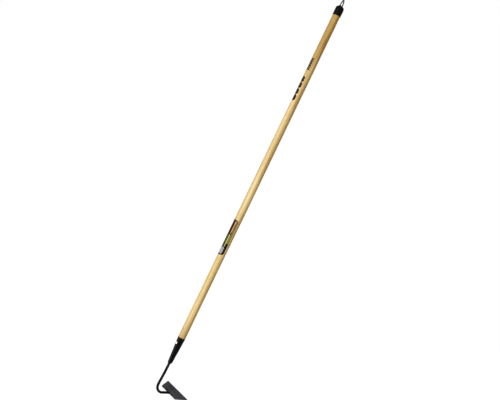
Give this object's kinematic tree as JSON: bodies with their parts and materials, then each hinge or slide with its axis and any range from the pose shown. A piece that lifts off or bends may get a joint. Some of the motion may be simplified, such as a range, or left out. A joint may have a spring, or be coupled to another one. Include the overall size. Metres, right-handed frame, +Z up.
{
  "type": "draw hoe",
  "caption": "Long handled draw hoe: trapezoid blade on a swan neck rod, tapered rolled socket, turned wooden handle, moulded end cap with a hanging eye.",
  "frame": {"origin": "bearing point of the hanging eye: the middle of the inside of its top bar, where a hook carries the tool", "axes": "+Z up the handle toward the eye, +X the way the blade points, Y along the blade's cutting edge"},
  "size_m": [0.1136, 0.149, 1.5752],
  "materials": {
    "ash": "clear varnish, lengthwise grain",
    "cap_plastic": "soft moulded black plastic",
    "socket_paint": "black gloss paint over rolled steel",
    "weld_paint": "black paint over weld",
    "neck_paint": "black gloss paint over round bar",
    "blade_paint": "dark charcoal, satin",
    "nail_steel": "bright zinc plate",
    "label_film": "printed film"
  },
  "bodies": {
    "root": {"handle": "ash", "hang_cap": "cap_plastic", "socket": "socket_paint", "socket_weld": "weld_paint", "neck": "neck_paint", "blade": "blade_paint", "blade_weld_inner": "weld_paint", "blade_weld_outer": "weld_paint", "fixing_nail": "nail_steel", "label": "label_film"}
  },
  "joints": []
}
